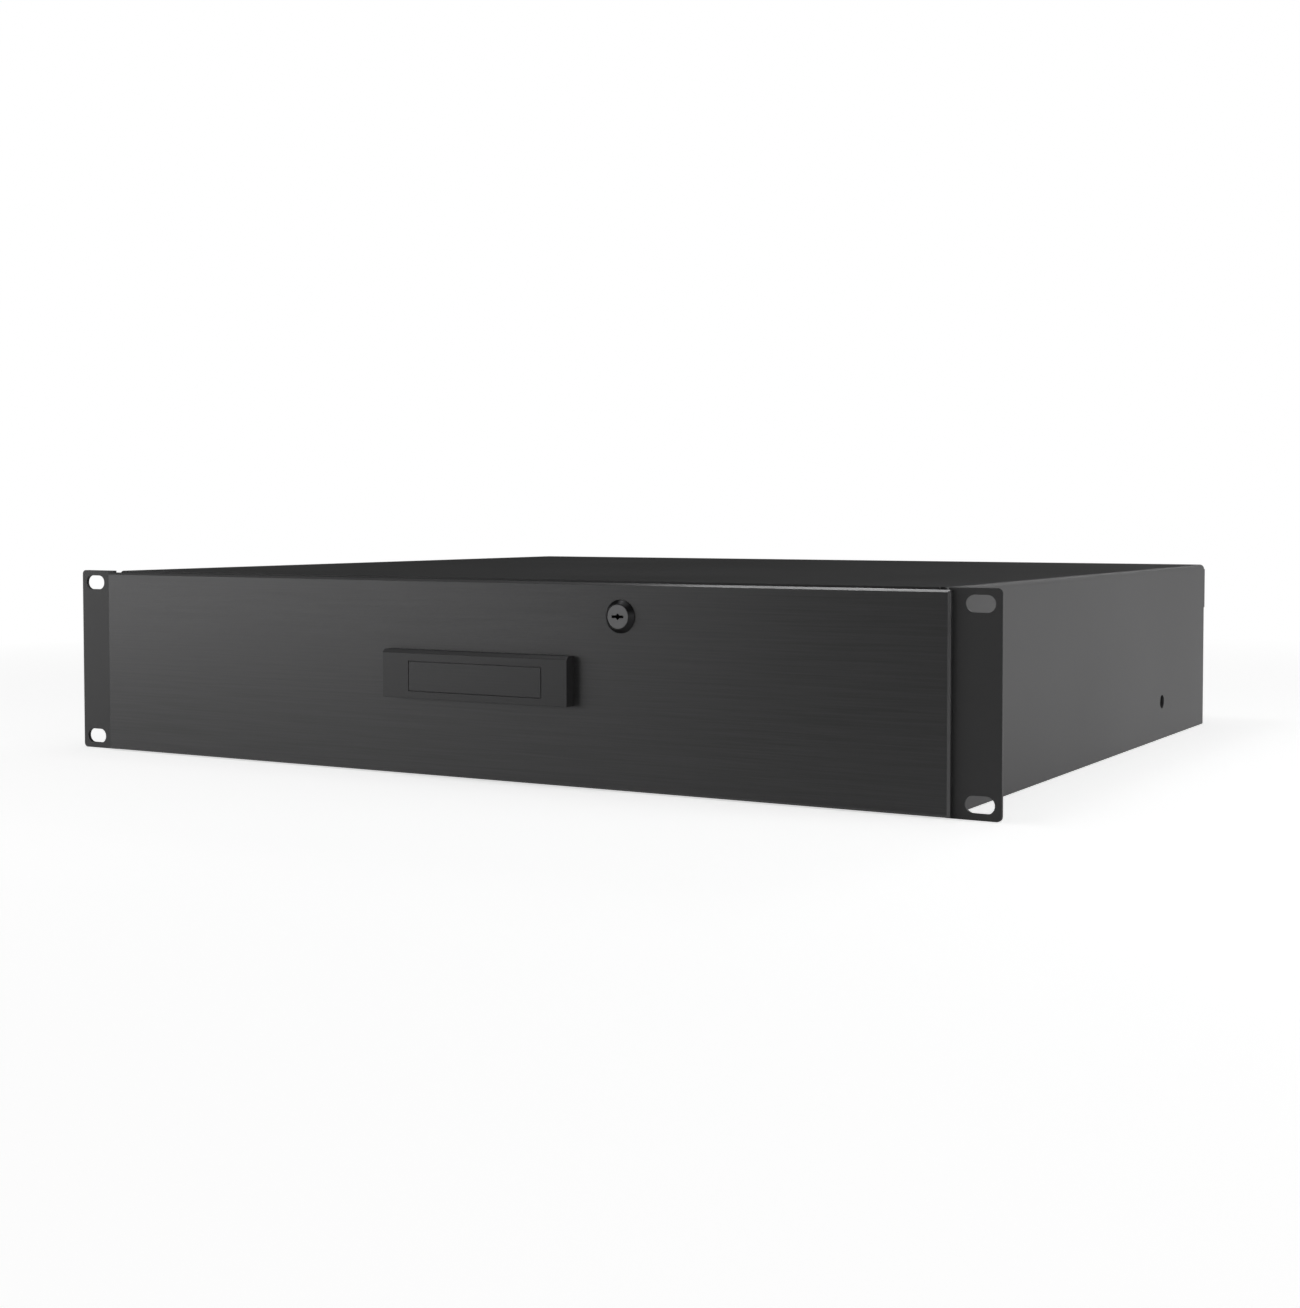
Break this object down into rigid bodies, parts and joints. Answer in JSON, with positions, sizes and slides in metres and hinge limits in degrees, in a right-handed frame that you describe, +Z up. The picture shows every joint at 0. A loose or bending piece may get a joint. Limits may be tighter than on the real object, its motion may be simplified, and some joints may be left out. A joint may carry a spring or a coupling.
{
  "type": "sliding rack drawer",
  "caption": "Two-unit sliding drawer for a 19-inch rack: folded steel housing with ears, brushed front panel, cam lock, pull and full-extension ball-bearing slides.",
  "frame": {"origin": "centre of the four rack slots on the rear, seating face of the ears", "axes": "+X to the right seen from the front, +Y into the rack, +Z up"},
  "size_m": [0.4826, 0.3877, 0.0882],
  "materials": {
    "housing_paint": "satin black powder coat",
    "tray_paint": "satin black powder coat",
    "panel_metal": "brushed along its length, black anodised",
    "pull_metal": "satin black anodised",
    "insert_metal": "fine brushed, black anodised",
    "slide_zinc": "bright zinc plated",
    "retainer_steel": "plain rolled steel",
    "ball_steel": "polished",
    "bumper_rubber": "matt",
    "fastener_zinc": "zinc plated",
    "lock_nickel": "satin nickel",
    "lock_face": "satin nickel"
  },
  "bodies": {
    "housing": {"housing_shell": "housing_paint", "bottom_pan": "housing_paint", "lock_catch": "housing_paint", "slide_outer_left": "slide_zinc", "slide_outer_right": "slide_zinc", "bumper_left": "bumper_rubber", "bumper_right": "bumper_rubber"},
    "middle_left": {"slide_middle_left": "slide_zinc"},
    "middle_right": {"slide_middle_right": "slide_zinc"},
    "outer_cage_left": {"retainer_outer_left": "retainer_steel", "balls_outer_left": "ball_steel"},
    "inner_cage_left": {"retainer_inner_left": "retainer_steel", "balls_inner_left": "ball_steel"},
    "outer_cage_right": {"retainer_outer_right": "retainer_steel", "balls_outer_right": "ball_steel"},
    "inner_cage_right": {"retainer_inner_right": "retainer_steel", "balls_inner_right": "ball_steel"},
    "drawer": {"drawer_tray": "tray_paint", "front_panel": "panel_metal", "panel_studs": "fastener_zinc", "panel_nuts": "fastener_zinc", "tray_screws": "fastener_zinc", "slide_inner_left": "slide_zinc", "slide_inner_right": "slide_zinc", "pull_handle": "pull_metal", "handle_insert": "insert_metal", "handle_screws": "fastener_zinc", "lock_barrel": "lock_nickel", "lock_nut": "fastener_zinc"},
    "lock_core": {"lock_plug": "lock_face", "lock_cam": "fastener_zinc", "cam_screw": "fastener_zinc"}
  },
  "joints": [
    {"name": "drawer_slide", "type": "slide", "parent": "housing", "child": "drawer", "axis": [0, -1, 0], "range_m": [0, 0.35]},
    {"name": "middle_slide_left", "type": "slide", "parent": "housing", "child": "middle_left", "axis": [0, -1, 0], "range_m": [0, 0.175]},
    {"name": "outer_cage_roll_left", "type": "slide", "parent": "housing", "child": "outer_cage_left", "axis": [0, -1, 0], "range_m": [0, 0.0875]},
    {"name": "inner_cage_roll_left", "type": "slide", "parent": "middle_left", "child": "inner_cage_left", "axis": [0, -1, 0], "range_m": [0, 0.0875]},
    {"name": "middle_slide_right", "type": "slide", "parent": "housing", "child": "middle_right", "axis": [0, -1, 0], "range_m": [0, 0.175]},
    {"name": "outer_cage_roll_right", "type": "slide", "parent": "housing", "child": "outer_cage_right", "axis": [0, -1, 0], "range_m": [0, 0.0875]},
    {"name": "inner_cage_roll_right", "type": "slide", "parent": "middle_right", "child": "inner_cage_right", "axis": [0, -1, 0], "range_m": [0, 0.0875]},
    {"name": "lock_turn", "type": "hinge", "parent": "drawer", "child": "lock_core", "pos_m": [0.075, 0, 0.0293], "axis": [0, 1, 0], "range_deg": [0, 90]}
  ],
  "couplings": [
    {"joint": "middle_slide_left", "follows": "drawer_slide", "ratio": 0.5},
    {"joint": "outer_cage_roll_left", "follows": "drawer_slide", "ratio": 0.25},
    {"joint": "inner_cage_roll_left", "follows": "drawer_slide", "ratio": 0.25},
    {"joint": "middle_slide_right", "follows": "drawer_slide", "ratio": 0.5},
    {"joint": "outer_cage_roll_right", "follows": "drawer_slide", "ratio": 0.25},
    {"joint": "inner_cage_roll_right", "follows": "drawer_slide", "ratio": 0.25}
  ]
}
